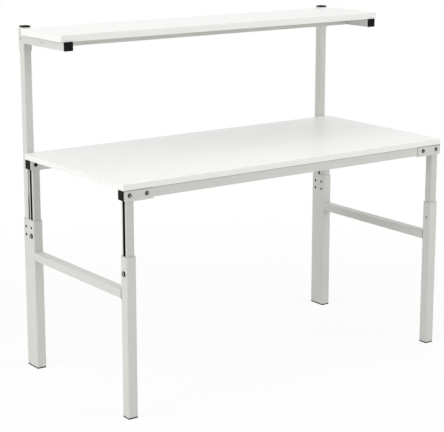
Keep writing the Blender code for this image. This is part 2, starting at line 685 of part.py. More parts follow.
def make_arm(side_name, side, steel, plastic, parent):
    """A shelf arm: a sleeve round the upright, a tube forward from it, and the tube's cap."""
    x = side * LEG_X
    place = placed(x, UPRIGHT_Y, SLEEVE_BOTTOM)
    arm = add_object("shelf_arm_" + side_name, prism([u_section()], SLEEVE_HEIGHT), steel, place, parent)
    outer = rectangle(ARM_WIDTH, ARM_HEIGHT, ARM_CORNER)
    inner_corner = max(ARM_CORNER - ARM_WALL, FIT)
    inner = rectangle(ARM_WIDTH - 2 * ARM_WALL, ARM_HEIGHT - 2 * ARM_WALL, inner_corner)
    tube = prism([outer, inner], ARM_LENGTH + SLEEVE_WALL / 2)
    join(arm, tube, placed(x, ARM_FRONT_Y, ARM_Z, ALONG_Y))

    sleeve_wall_x = side * (INNER_FACE_X + FIT + SLEEVE_WALL / 2)
    sleeve_hole = placed(sleeve_wall_x, UPRIGHT_Y, ARM_Z, ALONG_X)
    cut(arm, hole_cutters(HOLE_RADIUS, SLEEVE_WALL + OVERRUN, [sleeve_hole]))
    beam_hole = placed(x, BEAM_Y, ARM_Z, ALONG_X)
    cut(arm, hole_cutters(HOLE_RADIUS, ARM_WIDTH + OVERRUN, [beam_hole]))
    for radius, wall_z, sides in (
        (SCREW_HOLE_RADIUS, ARM_TOP - ARM_WALL / 2, SCREW_SIDES),
        (SCREW_ACCESS_RADIUS, ARM_TOP - ARM_HEIGHT + ARM_WALL / 2, BOLT_SIDES),
    ):
        places = [placed(x, y, wall_z) for y in arm_screws_y()]
        cut(arm, hole_cutters(radius, ARM_WALL + OVERRUN, places, sides))

    cap = end_plug(ARM_WIDTH, ARM_HEIGHT, ARM_CORNER, ARM_WALL, ARM_PLUG_RIM, ARM_PLUG_LENGTH, ARM_PLUG_LIP)
    place = placed(x, ARM_FRONT_Y, ARM_Z, ALONG_MINUS_Y)
    add_object("arm_cap_" + side_name, cap, plastic, place, parent)


def make_beam(steel, parent):
    """The beam between the arms: a tube with a plate and a welded nut inside each end."""
    length = 2 * (LEG_X - ARM_WIDTH / 2 - FIT)
    outer = rectangle(ARM_HEIGHT, BEAM_DEPTH, ARM_CORNER)
    inner_corner = max(ARM_CORNER - BEAM_WALL, FIT)
    inner = rectangle(ARM_HEIGHT - 2 * BEAM_WALL, BEAM_DEPTH - 2 * BEAM_WALL, inner_corner)
    place = placed(0, BEAM_Y, ARM_Z, ALONG_X)
    beam = add_object("shelf_beam", prism([outer, inner], length, -length / 2), steel, place, parent)
    plate = rectangle(ARM_HEIGHT - BEAM_WALL, BEAM_DEPTH - BEAM_WALL, inner_corner)
    for _, side in SIDES:
        plate_x = side * (length / 2 - BEAM_PLATE_INSET)
        join(beam, prism([plate], BEAM_PLATE), placed(plate_x, BEAM_Y, ARM_Z, outward(-side)))
        nut_x = side * (length / 2 - BEAM_PLATE_INSET - BEAM_PLATE / 2)
        nut = placed(nut_x, BEAM_Y, ARM_Z, outward(-side))
        join(beam, nut_bosses([nut]))
        cut(beam, hole_cutters(HOLE_RADIUS, 2 * (BEAM_PLATE + NUT_HEIGHT), [nut]))


def make_shelf(laminate, steel, plastic, frame):
    """The uprights with their arms, the beam and the shelf board."""
    screws = [(side * LEG_X, y) for _, side in SIDES for y in arm_screws_y()]
    make_board("shelf_board", SHELF_DEPTH, SHELF_THICKNESS, SHELF_FRONT_Y, SHELF_TOP, screws, laminate, frame)
    for side_name, side in SIDES:
        make_upright(side_name, side, steel, plastic, frame)
        make_arm(side_name, side, steel, plastic, frame)
    make_beam(steel, frame)


def main():
    clear_scene()
    laminate = finish("white_laminate", (0.88, 0.88, 0.87), 0.35)
    steel = finish("grey_white_powder_coat", (0.72, 0.72, 0.70), 0.45)
    plastic = finish("black_plastic", (0.02, 0.02, 0.02), 0.45)
    glide = finish("light_grey_plastic", (0.58, 0.58, 0.56), 0.5)
    oxide = finish("black_oxide_steel", (0.03, 0.03, 0.03), 0.35, 0.8)
    zinc = finish("zinc_plated_steel", (0.62, 0.62, 0.60), 0.35, 1.0)
    frame = add_empty("bench_frame", 0)
    slide = add_empty("worktop_slide", TABLE_HEIGHT, frame)
    make_worktop(laminate, steel, plastic, glide, oxide, slide)
    make_end_frames(steel, plastic, glide, oxide, zinc, frame)
    make_shelf(laminate, steel, plastic, frame)


if __name__ == "__main__":
    main()
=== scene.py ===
"""Looks of the antistatic workbench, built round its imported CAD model.

Metres, +Z up, front towards -Y, origin on the floor under the middle of the bench. The CAD nodes
stay as they are and get their finishes here. The small screws and bolts, the plugs of the spare
holes and the weld beads are added.
"""

from __future__ import annotations

import logging
import math
from dataclasses import dataclass
from enum import Enum
from typing import Any, Iterable, Sequence

import bmesh
import bpy
from mathutils import Matrix, Vector


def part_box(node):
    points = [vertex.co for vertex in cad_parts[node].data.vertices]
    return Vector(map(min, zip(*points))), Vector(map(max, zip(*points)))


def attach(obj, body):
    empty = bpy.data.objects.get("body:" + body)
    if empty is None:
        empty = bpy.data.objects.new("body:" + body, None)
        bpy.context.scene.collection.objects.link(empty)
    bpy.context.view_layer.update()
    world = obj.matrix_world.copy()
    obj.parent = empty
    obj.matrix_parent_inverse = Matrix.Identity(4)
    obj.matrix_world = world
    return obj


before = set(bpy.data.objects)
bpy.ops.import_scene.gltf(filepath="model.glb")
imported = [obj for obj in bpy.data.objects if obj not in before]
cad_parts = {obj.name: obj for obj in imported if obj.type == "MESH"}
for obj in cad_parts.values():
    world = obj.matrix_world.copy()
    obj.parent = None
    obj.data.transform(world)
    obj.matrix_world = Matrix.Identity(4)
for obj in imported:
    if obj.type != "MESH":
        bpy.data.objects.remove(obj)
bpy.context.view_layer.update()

MM = 0.001
SHARP_ANGLE = math.radians(35)
LOG = logging.getLogger("workbench")

Triple = tuple[float, float, float]
Outline = list[Vector]
Sections = list[tuple[Outline, float]]
Socket = bpy.types.NodeSocket

WHITE: Triple = (1.0, 1.0, 1.0)


class Side(Enum):
    """The two ends of the bench, as the sign of X."""

    LEFT = -1
    RIGHT = 1

    @property
    def word(self) -> str:
        """The side's name in node names."""
        return self.name.lower()

    @property
    def other(self) -> Side:
        """The opposite side."""
        return Side(-self.value)


class Row(Enum):
    """The two rows of legs."""

    FRONT = "front"
    REAR = "rear"


class Drive(Enum):
    """How a fastener is turned, as the number of the points of its recess."""

    HEX_SOCKET = 6
    CROSS = 4


class Body(Enum):
    """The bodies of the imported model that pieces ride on."""

    FRAME = "frame"
    WORKTOP = "worktop"


class Slot(Enum):
    """The material slots of the record that new pieces take their finish from."""

    POWDER_COAT = "powder_coat"
    BLACK_PLASTIC = "black_plastic"
    GREY_PLASTIC = "grey_plastic"
    BLACK_STEEL = "black_steel"
    ZINC = "zinc"


class Detail(Enum):
    """How many finer octaves a noise has."""

    SMOOTH = 1.0
    PLAIN = 2.0
    PATCHY = 3.0
    BUSY = 4.0


# Shader maths


class Signal:
    """A number on its way through a graph's nodes, which Python's operators work on."""

    def __init__(self, graph: Graph, socket: Socket) -> None:
        """Wraps an output socket of a graph."""
        self.graph = graph
        self.socket = socket

    def _math(self, operation: str, *operands: Any, clamp: bool = False) -> Signal:
        """Adds a Math node.

        Args:
            operation: The Math node's operation.
            operands: Its values or signals, in order.
            clamp: Whether the result stays between 0 and 1.

        Returns:
            The node's result.
        """
        settings = {"operation": operation, "use_clamp": clamp}
        node = self.graph.node("ShaderNodeMath", settings, dict(enumerate(operands)))
        return Signal(self.graph, node.outputs[0])

    def __add__(self, other: Any) -> Signal:
        """self + other."""
        return self._math("ADD", self, other)

    __radd__ = __add__

    def __sub__(self, other: Any) -> Signal:
        """self - other."""
        return self._math("SUBTRACT", self, other)

    def __rsub__(self, other: Any) -> Signal:
        """other - self."""
        return self._math("SUBTRACT", other, self)

    def __mul__(self, other: Any) -> Signal:
        """self * other."""
        return self._math("MULTIPLY", self, other)

    __rmul__ = __mul__

    def __truediv__(self, other: Any) -> Signal:
        """self / other."""
        return self._math("DIVIDE", self, other)

    def __abs__(self) -> Signal:
        """The number without its sign."""
        return self._math("ABSOLUTE", self)

    def larger(self, other: Any) -> Signal:
        """The larger of self and other."""
        return self._math("MAXIMUM", self, other)

    def smaller(self, other: Any) -> Signal:
        """The smaller of self and other."""
        return self._math("MINIMUM", self, other)

    def above(self, edge: float, soft: float) -> Signal:
        """1 where the number is above the edge and 0 below it, rising over the soft width."""
        return self._math("ADD", (self - edge) / soft, 0.5, clamp=True)

    def below(self, edge: float, soft: float) -> Signal:
        """1 where the number is below the edge and 0 above it, falling over the soft width."""
        return 1.0 - self.above(edge, soft)

    def swing(self, width: float) -> Signal:
        """A number from 0 to 1 laid round 0, with this width from end to end."""
        return (self - 0.5) * width


class Graph:
    """The node graph of a material or a world that is being made."""

    def __init__(self, tree: bpy.types.NodeTree, output: str) -> None:
        """Empties a tree and adds its output node.

        Args:
            tree: The tree.
            output: The output node's type.
        """
        self.tree = tree
        self.tree.nodes.clear()
        self.output = self.node(output)

    def node(self, kind: str, settings: dict[str, Any] | None = None,
             inputs: dict[str | int, Any] | None = None) -> bpy.types.Node:
        """Adds a node of any type.

        Args:
            kind: The node's type.
            settings: Its own settings, which are set first.
            inputs: A value, socket or signal for each input, by its name or number.

        Returns:
            The node.
        """
        node = self.tree.nodes.new(kind)
        for key, value in (settings or {}).items():
            setattr(node, key, value)
        for key, value in (inputs or {}).items():
            self.feed(node.inputs[key], value)
        return node

    def feed(self, socket: Socket, value: Any) -> None:
        """Links or sets an input.

        Args:
            socket: The input.
            value: A signal, an output socket, a number or a colour.
        """
        if isinstance(value, Signal):
            value = value.socket
        if isinstance(value, Socket):
            self.tree.links.new(value, socket)
        elif socket.type == "RGBA":
            socket.default_value = (*value, 1.0)
        else:
            socket.default_value = value

    def show(self, shader: bpy.types.Node) -> None:
        """Links a shader to the output."""
        self.feed(self.output.inputs["Surface"], shader.outputs[0])

    def mixed(self, share: Signal, first: bpy.types.Node, second: bpy.types.Node) -> bpy.types.Node:
        """A shader between the first, where the share is 0, and the second, where it is 1."""
        return self.node("ShaderNodeMixShader", None, {0: share, 1: first.outputs[0], 2: second.outputs[0]})

    def seen(self) -> Signal:
        """Tells the rays that show a surface or the world from those that light the bench.

        Returns:
            1 for rays from the camera, from reflections and through glass, and 0 for others.
        """
        path = self.node("ShaderNodeLightPath")
        names = ("Is Camera Ray", "Is Glossy Ray", "Is Transmission Ray")
        camera, glossy, through = (Signal(self, path.outputs[name]) for name in names)
        return camera.larger(glossy).larger(through)

    def place(self) -> Socket:
        """The place of a point in metres, which moves with its body."""
        return self.node("ShaderNodeTexCoord").outputs["Object"]

    def axes(self, vector: Socket) -> tuple[Signal, Signal, Signal]:
        """Takes a vector apart.

        Args:
            vector: The vector.

        Returns:
            Its three numbers.
        """
        node = self.node("ShaderNodeSeparateXYZ", None, {0: vector})
        x, y, z = (Signal(self, socket) for socket in node.outputs)
        return x, y, z

    def stretched(self, vector: Socket, scale: Triple) -> Socket:
        """The vector times a scale for each axis."""
        return self.node("ShaderNodeVectorMath", {"operation": "MULTIPLY"}, {0: vector, 1: scale}).outputs[0]

    def length(self, vector: Socket) -> Signal:
        """The vector's length."""
        node = self.node("ShaderNodeVectorMath", {"operation": "LENGTH"}, {0: vector})
        return Signal(self, node.outputs["Value"])

    def noise(self, vector: Socket, grain: float, detail: Detail = Detail.PLAIN) -> Signal:
        """Noise from 0 to 1, with grains of this size in metres."""
        inputs = {"Vector": vector, "Scale": 1 / grain, "Detail": detail.value}
        return Signal(self, self.node("ShaderNodeTexNoise", None, inputs).outputs[0])

    def cells(self, vector: Socket, grain: float) -> Signal:
        """The distance to the nearest of scattered points, in shares of the grain's size."""
        node = self.node("ShaderNodeTexVoronoi", None, {"Vector": vector, "Scale": 1 / grain})
        return Signal(self, node.outputs["Distance"])

    def blend(self, share: Any, first: Any, second: Any) -> Socket:
        """A colour between the first, where the share is 0, and the second, where it is 1."""
        return self.node("ShaderNodeMix", {"data_type": "RGBA"}, {0: share, 6: first, 7: second}).outputs[2]

    def relief(self, height: Signal, depth: float) -> Socket:
        """A normal bumped by heights from 0 to 1, which lie this depth in metres apart."""
        inputs = {"Height": height, "Distance": depth, "Strength": 1.0}
        return self.node("ShaderNodeBump", None, inputs).outputs[0]


class MaterialGraph(Graph):
    """The node graph of one material, with a Principled shader."""

    def __init__(self, name: str) -> None:
        """Makes the material.

        Args:
            name: The material's name.
        """
        self.material = bpy.data.materials.new(name)
        self.material.use_nodes = True
        super().__init__(self.material.node_tree, "ShaderNodeOutputMaterial")
        self.shader = self.node("ShaderNodeBsdfPrincipled")
        self.show(self.shader)

    def set(self, **values: Any) -> None:
        """Feeds the Principled shader's inputs, with _ for each space in their names."""
        for key, value in values.items():
            self.feed(self.shader.inputs[key.replace("_", " ").title().replace("Ior", "IOR")], value)


# Finishes

_MADE: dict[Finish, bpy.types.Material] = {}


def scaled(colour: Triple, factor: float) -> Triple:
    """A colour with each channel times a factor."""
    red, green, blue = (channel * factor for channel in colour)
    return red, green, blue


@dataclass(frozen=True)
class Finish:
    """A finish, whose material is made once and shared."""

    name: str

    @property
    def material(self) -> bpy.types.Material:
        """Makes the finish's material when it is first asked for.

        Returns:
            The material.
        """
        if self not in _MADE:
            graph = MaterialGraph(self.name)
            self.paint(graph)
            _MADE[self] = graph.material
        return _MADE[self]

    def paint(self, graph: MaterialGraph) -> None:
        """Feeds the shader of the graph."""
        raise NotImplementedError


@dataclass(frozen=True)
class PowderCoat(Finish):
    """Satin powder coat on steel: an orange peel, fine flecks and a tone that drifts a little."""

    colour: Triple = (0.644, 0.638, 0.607)
    drift: float = 0.035
    drift_grain: float = 120 * MM
    fleck_grain: float = 0.7 * MM
    fleck_share: float = 0.5
    peel_grain: float = 1.6 * MM
    peel_depth: float = 0.05 * MM
    haze_grain: float = 30 * MM
    haze: float = 0.08
    roughness: float = 0.42

    def paint(self, graph: MaterialGraph) -> None:
        """Feeds the shader of the graph."""
        place = graph.place()
        graph.set(base_color=self.tone(graph, place), **self.gloss(graph, place))

    def tone(self, graph: MaterialGraph, place: Socket) -> Socket:
        """Works out the coat's colour.

        Args:
            graph: The material's graph.
            place: Where it is read.

        Returns:
            The colour.
        """
        drift = graph.noise(place, self.drift_grain)
        fleck = graph.noise(place, self.fleck_grain)
        share = drift * (1 - self.fleck_share) + fleck * self.fleck_share
        return graph.blend(share, scaled(self.colour, 1 - 2 * self.drift), self.colour)

    def gloss(self, graph: MaterialGraph, place: Socket) -> dict[str, Any]:
        """Works out the coat's roughness and normal.

        Args:
            graph: The material's graph.
            place: Where they are read.

        Returns:
            Inputs of the shader.
        """
        peel = graph.noise(place, self.peel_grain, Detail.SMOOTH)
        haze = graph.noise(place, self.haze_grain)
        return {
            "roughness": self.roughness + haze.swing(self.haze),
            "normal": graph.relief(peel, self.peel_depth),
        }


@dataclass(frozen=True)
class RailCoat(PowderCoat):
    """The coat of a rail, with painted shade in patches along its top, where the board above overhangs it."""

    joint_at: float = 1.0
    joint_width: float = 4.0 * MM
    patch_grain: float = 25 * MM
    patch_least: float = 0.5
    # Painted shade: the colour that the rail's top darkens to, under the board.
    painted_shade: Triple = (0.24, 0.24, 0.23)

    def tone(self, graph: MaterialGraph, place: Socket) -> Socket:
        """Works out the coat's colour, with the painted shade.

        Args:
            graph: The material's graph.
            place: Where it is read.

        Returns:
            The colour.
        """
        _, _, z = graph.axes(place)
        patches = graph.noise(place, self.patch_grain, Detail.PATCHY)
        patchy = patches * (1 - self.patch_least) + self.patch_least
        # Painted shade over the rail's top few millimetres, in patches.
        share = z.above(self.joint_at - self.joint_width / 2, self.joint_width / 3) * patchy
        return graph.blend(share, super().tone(graph, place), self.painted_shade)


@dataclass(frozen=True)
class UprightCoat(PowderCoat):
    """The coat of an upright, with painted shade on its front face where an inner leg slides close in front
    of it.
    """

    front_y: float = 0.0
    low: float = 0.0
    high: float = 0.0
    low_fade: float = 2 * MM
    high_fade: float = 35 * MM
    corner: float = 1.6 * MM
    corner_fade: float = 0.5 * MM
    # Painted shade: the near-black colour of the front face in the narrow gap behind the inner leg.
    painted_shade: Triple = (0.012, 0.012, 0.012)

    def tone(self, graph: MaterialGraph, place: Socket) -> Socket:
        """Works out the coat's colour, with the painted shade.

        Args:
            graph: The material's graph.
            place: Where it is read.

        Returns:
            The colour.
        """
        _, y, z = graph.axes(place)
        # Painted shade on the front face and its corners, from the outer leg's top to below the board's
        # lowest place.
        share = y.below(self.front_y + self.corner, self.corner_fade)
        share = share * z.below(self.high - self.high_fade / 2, self.high_fade)
        share = share * z.above(self.low, self.low_fade)
        return graph.blend(share, super().tone(graph, place), self.painted_shade)


@dataclass(frozen=True)
class SlottedLegCoat(PowderCoat):
    """The coat of an inner leg, darker than the frame's as painted shade, with painted shade inside it, along
    its slot's edges and on the rear legs' rear corners, and rubbed by the bush outside.
    """

    # Painted shade: the frame's coat colour made about 7 % darker, for the shade that the board casts on the
    # inner legs.
    colour: Triple = (0.600, 0.594, 0.565)
    centre_x: float = 0.0
    centre_y: float = 0.0
    half_width: float = 0.0
    half_depth: float = 0.0
    wall: float = 2 * MM
    half_slot: float = 6.75 * MM
    # How far past the slot's edge the painted shade reaches on the outer face.
    slot_shade_margin: float = 0.8 * MM
    slot_shade_fade: float = 0.2 * MM
    # Painted shade: the near-black colour inside the leg and along the slot's edges.
    inside: Triple = (0.003, 0.003, 0.003)
    inside_dulling: float = 0.4
    streak: Triple = (0.2 * MM, 0.2 * MM, 60 * MM)
    rub_level: float = 0.66
    rub_soft: float = 0.1
    rub_strength: float = 0.25
    rub_tone: float = 0.9
    rub_gloss: float = 0.3
    # Painted shade along the rear corner of the rear legs, which face the uprights across a narrow gap: 1 on
    # the rear row, 0 on the front.
    painted_shade_rear: float = 0.0
    painted_shade_corner: float = 1.7 * MM
    painted_shade_fade: float = 0.4 * MM
    painted_shade: Triple = (0.02, 0.02, 0.02)

    def paint(self, graph: MaterialGraph) -> None:
        """Feeds the shader of the graph.

        Args:
            graph: The material's graph.
        """
        place = graph.place()
        x, y, _ = graph.axes(place)
        outward, rearward = abs(x) - self.centre_x, y - self.centre_y
        shaded_hollow = self.shaded_hollow(outward, rearward)
        streaks = graph.stretched(place, tuple(1 / size for size in self.streak))
        rubs = graph.noise(streaks, 1.0, Detail.PATCHY)
        rub = rubs.above(self.rub_level, self.rub_soft) * self.rub_strength
        marked = graph.blend(rub, self.tone(graph, place), scaled(self.colour, self.rub_tone))
        # Painted shade on the rear corner of the rear legs.
        rear = rearward.above(self.half_depth - self.painted_shade_corner, self.painted_shade_fade) * self.painted_shade_rear
        shaded_coat = graph.blend(rear, marked, self.painted_shade)
        gloss = self.gloss(graph, place)
        gloss["roughness"] = gloss["roughness"] + shaded_hollow * self.inside_dulling - rub * self.rub_gloss
        # The inside and the slot's margin take the near-black painted shade.
        graph.set(base_color=graph.blend(shaded_hollow, shaded_coat, self.inside), **gloss)

    def shaded_hollow(self, outward: Signal, rearward: Signal) -> Signal:
        """Finds where the slot's painted shade goes: the leg's inside and a margin along the edges of its
        slot.

        Args:
            outward: How far a point lies from the leg's middle, away from the bench's middle.
            rearward: How far it lies behind the leg's middle.

        Returns:
            1 there, and 0 on the coated outside.
        """
        skin = self.wall / 4
        across = abs(outward) - (self.half_width - self.wall)
        along = abs(rearward) - (self.half_depth - self.wall)
        cavity = across.larger(along).below(skin, skin)
        # Painted shade reaches a margin past the slot's edge on the outer face, so that the slot reads wider
        # and darker.
        slot = abs(rearward).below(self.half_slot + self.slot_shade_margin, self.slot_shade_fade)
        return cavity.larger(slot * outward.above(self.half_width - 2 * self.wall, skin))


@dataclass(frozen=True)
class BoardLaminate(Finish):
    """White antistatic laminate on both faces of a board, with a plastic band round its edges."""

    low: Triple = (0.0, 0.0, 0.0)
    high: Triple = (0.0, 0.0, 0.0)
    colour: Triple = (0.90, 0.90, 0.885)
    speck: Triple = (0.85, 0.85, 0.835)
    speck_level: float = 0.55
    speck_soft: float = 0.3
    speck_strength: float = 0.5
    band: Triple = (0.85, 0.85, 0.82)
    band_depth: float = 0.6 * MM
    band_dulling: float = 0.04
    joint: Triple = (0.45, 0.44, 0.41)
    joint_from_face: float = 0.4 * MM
    joint_width: float = 0.25 * MM
    joint_reach: tuple[float, float] = (0.25 * MM, 0.9 * MM)
    joint_strength: float = 0.6
    fade: float = 0.1 * MM
    pearl_grain: float = 0.9 * MM
    pearl_depth: float = 0.006 * MM
    cloud_grain: float = 90 * MM
    cloud: float = 0.05
    roughness: float = 0.38
    specular: float = 0.4

    def paint(self, graph: MaterialGraph) -> None:
        """Feeds the shader of the graph.

        Args:
            graph: The material's graph.
        """
        place = graph.place()
        gap_x, gap_y, gap_z = (
            (high - low) / 2 - abs(axis - (low + high) / 2)
            for axis, low, high in zip(graph.axes(place), self.low, self.high)
        )
        inward = gap_x.smaller(gap_y)
        banded = inward.below(self.band_depth, self.fade)
        near, far = self.joint_reach
        line = abs(gap_z - self.joint_from_face).below(self.joint_width / 2, self.joint_width / 2)
        line = line * inward.below(far, self.fade) * inward.above(near, self.fade)
        specks = graph.cells(place, self.pearl_grain).above(self.speck_level, self.speck_soft)
        sheet = graph.blend(specks * self.speck_strength, self.colour, self.speck)
        edged = graph.blend(banded, sheet, self.band)
        pearl = graph.noise(place, self.pearl_grain, Detail.SMOOTH)
        cloud = graph.noise(place, self.cloud_grain)
        graph.set(
            base_color=graph.blend(line * self.joint_strength, edged, self.joint),
            roughness=self.roughness + cloud.swing(self.cloud) + banded * self.band_dulling,
            specular_ior_level=self.specular,
            normal=graph.relief(pearl, self.pearl_depth),
        )


@dataclass(frozen=True)
class MouldedPlastic(Finish):
    """Moulded plastic with a spark-eroded grain and paler scuffs."""

    colour: Triple = (0.008, 0.008, 0.008)
    pale: Triple = (0.016, 0.016, 0.016)
    grain: float = 0.5 * MM
    depth: float = 0.02 * MM
    scuff_grain: float = 14 * MM
    scuff_level: float = 0.6
    scuff_soft: float = 0.25
    scuff_strength: float = 0.6
    roughness: float = 0.5
    haze: float = 0.15
    specular: float = 0.06

    def paint(self, graph: MaterialGraph) -> None:
        """Feeds the shader of the graph.

        Args:
            graph: The material's graph.
        """
        place = graph.place()
        pits = graph.cells(place, self.grain)
        scuffs = graph.noise(place, self.scuff_grain, Detail.BUSY)
        scuffed = scuffs.above(self.scuff_level, self.scuff_soft) * self.scuff_strength
        graph.set(
            base_color=graph.blend(scuffed, self.colour, self.pale),
            roughness=self.roughness + scuffs.swing(self.haze),
            normal=graph.relief(pits, self.depth),
            specular_ior_level=self.specular,
        )


@dataclass(frozen=True)
class OxideSteel(Finish):
    """Black oxide on a bolt, with its crown painted paler, partly as rubbed wear and partly as a painted
    highlight.

    The crown is where the place along one axis, without its sign, is past crown_at. The value given
    here lies outside the bench, so that no paler crown is painted.
    """

    axis: int = 0
    crown_at: float = 1.0
    crown_soft: float = 0.5 * MM
    crown_least: float = 0.55
    crown_patches: float = 0.6
    crown_gloss: float = 0.06
    colour: Triple = (0.010, 0.010, 0.011)
    # The paler crown's colour: partly rubbed wear, partly a painted highlight.
    crown: Triple = (0.42, 0.42, 0.42)
    tooling_grain: float = 0.4 * MM
    tooling_depth: float = 0.008 * MM
    bloom_grain: float = 3 * MM
    metallic: float = 0.85
    roughness: float = 0.32
    haze: float = 0.12

    def paint(self, graph: MaterialGraph) -> None:
        """Feeds the shader of the graph.

        Args:
            graph: The material's graph.
        """
        place = graph.place()
        # Paler crown: partly rubbed wear, partly a painted highlight.
        highlighted_crown = abs(graph.axes(place)[self.axis]).above(self.crown_at, self.crown_soft)
        tooling = graph.noise(place, self.tooling_grain, Detail.PATCHY)
        bloom = graph.noise(place, self.bloom_grain, Detail.PATCHY)
        marked = highlighted_crown * (self.crown_least + bloom * self.crown_patches)
        graph.set(
            base_color=graph.blend(marked, self.colour, self.crown),
            metallic=self.metallic,
            roughness=self.roughness + bloom.swing(self.haze) - highlighted_crown * self.crown_gloss,
            normal=graph.relief(tooling, self.tooling_depth),
        )


@dataclass(frozen=True)
class ZincPlate(Finish):
    """Bright zinc plate with the faint bloom of its passivation."""

    colour: Triple = (0.62, 0.62, 0.60)
    bloom: Triple = (0.52, 0.53, 0.56)
    bloom_grain: float = 5 * MM
    tooling_grain: float = 0.5 * MM
    tooling_depth: float = 0.01 * MM
    roughness: float = 0.30
    haze: float = 0.15

    def paint(self, graph: MaterialGraph) -> None:
        """Feeds the shader of the graph.

        Args:
            graph: The material's graph.
        """
        place = graph.place()
        bloom = graph.noise(place, self.bloom_grain, Detail.BUSY)
        tooling = graph.noise(place, self.tooling_grain)
        graph.set(
            base_color=graph.blend(bloom, self.colour, self.bloom),
            metallic=1.0,
            roughness=self.roughness + bloom.swing(self.haze),
            normal=graph.relief(tooling, self.tooling_depth),
        )


@dataclass(frozen=True)
class StudioPaper(Finish):
    """The studio's floor, which the camera and reflections see as white, but for the shadows."""

    colour: Triple = (0.95, 0.95, 0.95)
    fibre_grain: float = 40 * MM
    fibre_tone: float = 0.98
    glow: float = 0.90
    glow_reach: tuple[float, float] = (1.2, 2.4)

    def paint(self, graph: MaterialGraph) -> None:
        """Puts a shader of its own in the place of the graph's.

        Args:
            graph: The material's graph.
        """
        seen = graph.seen()
        place = graph.place()
        near, far = self.glow_reach
        away = graph.length(place).above((near + far) / 2, far - near)
        fibre = graph.noise(place, self.fibre_grain)
        tone = graph.blend(fibre, self.colour, scaled(self.colour, self.fibre_tone))
        plain = graph.node("ShaderNodeBsdfDiffuse", None, {"Color": tone})
        shown = graph.node("ShaderNodeEmission", None, {"Color": WHITE, "Strength": 1.0})
        graph.show(graph.mixed(seen * (self.glow + away * (1.0 - self.glow)), plain, shown))
        graph.tree.nodes.remove(graph.shader)


COAT = PowderCoat("bench_powder_coat")
WELD_COAT = PowderCoat("bench_powder_coat_on_welds", peel_grain=0.9 * MM, peel_depth=0.03 * MM)
PLASTIC = MouldedPlastic("black_moulded_plastic")
GLIDE = MouldedPlastic(
    "light_grey_glide_plastic",
    colour=(0.56, 0.56, 0.54), pale=(0.62, 0.62, 0.60), grain=0.8 * MM, specular=0.4,
)
# Painted shade: a grey plug whose grey stands in for the shaded inside of an open hole.
HOLE_SHADE_PLUG = MouldedPlastic(
    "grey_plug_as_hole_shade", colour=(0.23, 0.23, 0.23), pale=(0.28, 0.28, 0.28), specular=0.3
)
BARE_OXIDE = OxideSteel("black_oxide_screws")
ZINC = ZincPlate("zinc_plate")


# The CAD nodes


def nodes_called(*starts: str) -> list[str]:
    """The CAD nodes whose names start with one of these words."""
    return sorted(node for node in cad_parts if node.startswith(starts))


def dress(finish: Finish, *starts: str) -> None:
    """Gives a finish to the CAD nodes whose names start with one of these words.

    Args:
        finish: The finish of all their faces.
        starts: The words.
    """
    for node in nodes_called(*starts):
        for material_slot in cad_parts[node].material_slots:
            material_slot.material = finish.material
        LOG.info("%s: %s", node, finish.name)


def box_of(node: str) -> tuple[Vector, Vector, Vector]:
    """The lowest corner, the highest corner and the middle of a CAD node."""
    low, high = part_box(node)
    return low, high, (low + high) / 2


def face_x(node: str, side: Side) -> float:
    """The X of a CAD node's face on one side."""
    low, high, _ = box_of(node)
    return high.x if side is Side.RIGHT else low.x


# Meshes


def laid(x: float, y: float, z: float, side: Side) -> Matrix:
    """The matrix that lays a shape's +Z towards a side and moves it to a place."""
    turn = Vector((side.value, 0, 0)).to_track_quat("Z", "Y").to_matrix().to_4x4()
    return Matrix.Translation((x, y, z)) @ turn


def upended(x: float, y: float, z: float) -> Matrix:
    """The matrix that turns a screw's point upward and moves it to a place."""
    return Matrix.Translation((x, y, z)) @ Matrix.Rotation(math.pi, 4, "X")


def ring(radius: float, sides: int) -> Outline:
    """The points of a circle."""
    angles = (2 * math.pi * step / sides for step in range(sides))
    return [Vector((radius * math.cos(angle), radius * math.sin(angle))) for angle in angles]


def joined(bm: bmesh.types.BMesh, rows: Sequence[Sequence[bmesh.types.BMVert]]) -> None:
    """Fills the faces between each closed row of points and the next.

    Args:
        bm: The mesh that the points are in.
        rows: The rows, all with the same number of points.
    """
    for row, after in zip(rows, rows[1:]):
        for index in range(len(row)):
            nxt = (index + 1) % len(row)
            bm.faces.new((row[index], row[nxt], after[nxt], after[index]))


def lofted(sections: Sections) -> bmesh.types.BMesh:
    """Makes a closed solid through outlines, with an end face at the first and the last.

    Args:
        sections: Each outline with its height.

    Returns:
        The solid.
    """
    bm = bmesh.new()
    rows = [[bm.verts.new((x, y, height)) for x, y in outline] for outline, height in sections]
    joined(bm, rows)
    bm.faces.new(rows[0])
    bm.faces.new(rows[-1])
    bmesh.ops.recalc_face_normals(bm, faces=bm.faces[:])
    return bm


def add_piece(name: str, bm: bmesh.types.BMesh, matrix: Matrix, finish: Finish, body: Body) -> None:
    """Makes a piece of the bench that isn't a CAD node.

    Args:
        name: The piece's name.
        bm: Its solid, which is used up.
        matrix: Where it goes.
        finish: Its finish.
        body: The CAD body that it rides on.
    """
    mesh = bpy.data.meshes.new(name)
    bm.transform(matrix)
    bm.to_mesh(mesh)
    bm.free()
    mesh.materials.append(finish.material)
    mesh.shade_smooth()
    mesh.set_sharp_from_angle(angle=SHARP_ANGLE)
    piece = bpy.data.objects.new(name, mesh)
    bpy.context.scene.collection.objects.link(piece)
    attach(piece, body.value)
    LOG.info("%s: new piece on %s", name, body.value)


